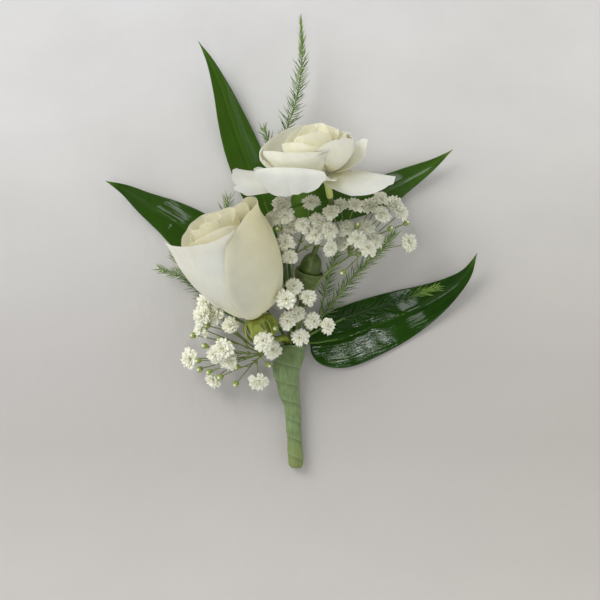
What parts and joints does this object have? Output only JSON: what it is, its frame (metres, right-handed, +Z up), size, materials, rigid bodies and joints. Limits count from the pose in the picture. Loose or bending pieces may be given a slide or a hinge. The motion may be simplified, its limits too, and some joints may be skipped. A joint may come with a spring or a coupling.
{
  "type": "boutonniere",
  "caption": "Boutonniere lying on its back: a white rosebud and an open white bloom with ruscus leaves, asparagus fern and baby's breath, bound with floral tape.",
  "frame": {"origin": "on the surface that the part lies on, in the flat underside of the tape, 2 mm in from its mouth", "axes": "+Y from the taped stems towards the flowers, +Z up from the surface to the flowers' front, +X to the right seen from above"},
  "size_m": [0.1253, 0.1541, 0.0466],
  "materials": {
    "petal": "soft satin",
    "leaf": "glossy",
    "fern": "matt",
    "stem": "satin",
    "calyx": "satin",
    "breath": "matt",
    "tape": "waxed crepe"
  },
  "bodies": {
    "root": {"floral_tape": "tape", "rosebud_petals": "petal", "rosebud_calyx": "stem", "bloom_petals": "petal", "bloom_stem": "calyx", "bloom_stem_tape": "tape", "leaf_top_left": "leaf", "leaf_left": "leaf", "leaf_right": "leaf", "leaf_low_right": "leaf", "fern_top": "fern", "fern_left": "fern", "fern_right": "fern", "fern_low": "fern", "breath_upper_left": "breath", "breath_upper_right": "breath", "breath_middle": "breath", "breath_low": "breath"}
  },
  "joints": []
}
